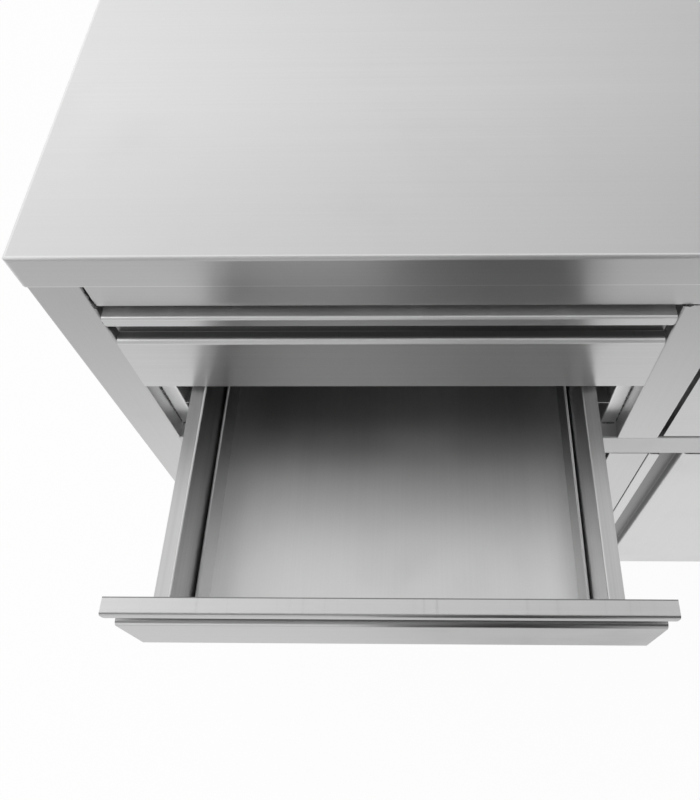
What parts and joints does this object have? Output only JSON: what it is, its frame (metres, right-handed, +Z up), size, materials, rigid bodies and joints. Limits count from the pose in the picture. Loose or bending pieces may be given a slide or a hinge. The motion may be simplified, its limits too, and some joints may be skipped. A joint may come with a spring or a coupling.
{
  "type": "coffee station cabinet",
  "caption": "Stainless steel base cabinet for a coffee station, with drawers, a knock-out drawer and cupboards that open by folded finger grips.",
  "frame": {"origin": "centre of the footprint at floor level, with the drawn-out bottom drawer counted in", "axes": "+X to the viewer's right, +Y from the front to the back, +Z up; the fronts face -Y"},
  "size_m": [1.2, 0.827, 1],
  "materials": {
    "stainless_steel": "fine brushed stainless steel",
    "inner_steel": "plain stainless steel inside the body",
    "zinc_plate": "zinc-plated steel",
    "black_rubber": "matt rubber",
    "black_plastic": "matt moulded plastic"
  },
  "bodies": {
    "cabinet": {"worktop": "stainless_steel", "worktop_stiffeners": "inner_steel", "side_panel_left": "stainless_steel", "side_panel_right": "stainless_steel", "back_panel": "stainless_steel", "bottom_panel": "inner_steel", "top_rail": "stainless_steel", "middle_rail": "stainless_steel", "centre_stile_upper": "stainless_steel", "centre_stile_lower": "stainless_steel", "partition_upper": "inner_steel", "partition_lower": "inner_steel", "divider_shelf": "inner_steel", "runner_posts": "inner_steel", "runner_brackets": "inner_steel", "runner_outer_members": "zinc_plate", "cupboard_shelves": "inner_steel", "shelf_supports": "zinc_plate", "foot_plates": "zinc_plate", "foot_tubes": "stainless_steel", "foot_adjusters": "black_plastic", "foot_screws": "zinc_plate", "door_pivot_plates": "zinc_plate", "magnet_catches": "black_plastic"},
    "top_drawer": {"top_drawer_front": "stainless_steel", "top_drawer_liner": "inner_steel", "top_drawer_side_left": "stainless_steel", "top_drawer_side_right": "stainless_steel", "top_drawer_back": "stainless_steel", "top_drawer_tray": "stainless_steel", "top_drawer_runner_inner": "zinc_plate"},
    "top_drawer_slides": {"top_drawer_runner_middle": "zinc_plate"},
    "bottom_drawer": {"bottom_drawer_front": "stainless_steel", "bottom_drawer_liner": "inner_steel", "bottom_drawer_side_left": "stainless_steel", "bottom_drawer_side_right": "stainless_steel", "bottom_drawer_back": "stainless_steel", "bottom_drawer_tray": "stainless_steel", "bottom_drawer_runner_inner": "zinc_plate"},
    "bottom_drawer_slides": {"bottom_drawer_runner_middle": "zinc_plate"},
    "knock_drawer": {"knock_drawer_front": "stainless_steel", "knock_drawer_liner": "inner_steel", "knock_drawer_side_left": "stainless_steel", "knock_drawer_side_right": "stainless_steel", "knock_drawer_back": "stainless_steel", "knock_drawer_tray": "stainless_steel", "knock_drawer_runner_inner": "zinc_plate", "knock_bar": "stainless_steel", "knock_bar_sleeve": "black_rubber", "knock_bar_sockets": "zinc_plate", "grounds_bin": "black_plastic"},
    "knock_drawer_slides": {"knock_drawer_runner_middle": "zinc_plate"},
    "left_door": {"left_door_skin": "stainless_steel", "left_door_liner": "inner_steel", "left_door_pivots": "zinc_plate"},
    "right_door": {"right_door_skin": "stainless_steel", "right_door_liner": "inner_steel", "right_door_pivots": "zinc_plate"}
  },
  "joints": [
    {"name": "top_drawer_slide", "type": "slide", "parent": "cabinet", "child": "top_drawer", "axis": [0, -1, 0], "range_m": [-0.008, 0.412]},
    {"name": "top_drawer_slides_run", "type": "slide", "parent": "cabinet", "child": "top_drawer_slides", "axis": [0, -1, 0], "range_m": [-0.004, 0.206]},
    {"name": "bottom_drawer_slide", "type": "slide", "parent": "cabinet", "child": "bottom_drawer", "axis": [0, -1, 0], "range_m": [-0.232, 0.188]},
    {"name": "bottom_drawer_slides_run", "type": "slide", "parent": "cabinet", "child": "bottom_drawer_slides", "axis": [0, -1, 0], "range_m": [-0.116, 0.094]},
    {"name": "knock_drawer_slide", "type": "slide", "parent": "cabinet", "child": "knock_drawer", "axis": [0, -1, 0], "range_m": [0, 0.42]},
    {"name": "knock_drawer_slides_run", "type": "slide", "parent": "cabinet", "child": "knock_drawer_slides", "axis": [0, -1, 0], "range_m": [0, 0.21]},
    {"name": "left_door_hinge", "type": "hinge", "parent": "cabinet", "child": "left_door", "pos_m": [-0.5395, -0.1735, 0.092], "axis": [0, 0, -1], "range_deg": [0, 110]},
    {"name": "right_door_hinge", "type": "hinge", "parent": "cabinet", "child": "right_door", "pos_m": [0.5395, -0.1735, 0.092], "axis": [0, 0, 1], "range_deg": [0, 110]}
  ],
  "couplings": [
    {"joint": "top_drawer_slides_run", "follows": "top_drawer_slide", "ratio": 0.5},
    {"joint": "bottom_drawer_slides_run", "follows": "bottom_drawer_slide", "ratio": 0.5},
    {"joint": "knock_drawer_slides_run", "follows": "knock_drawer_slide", "ratio": 0.5}
  ]
}
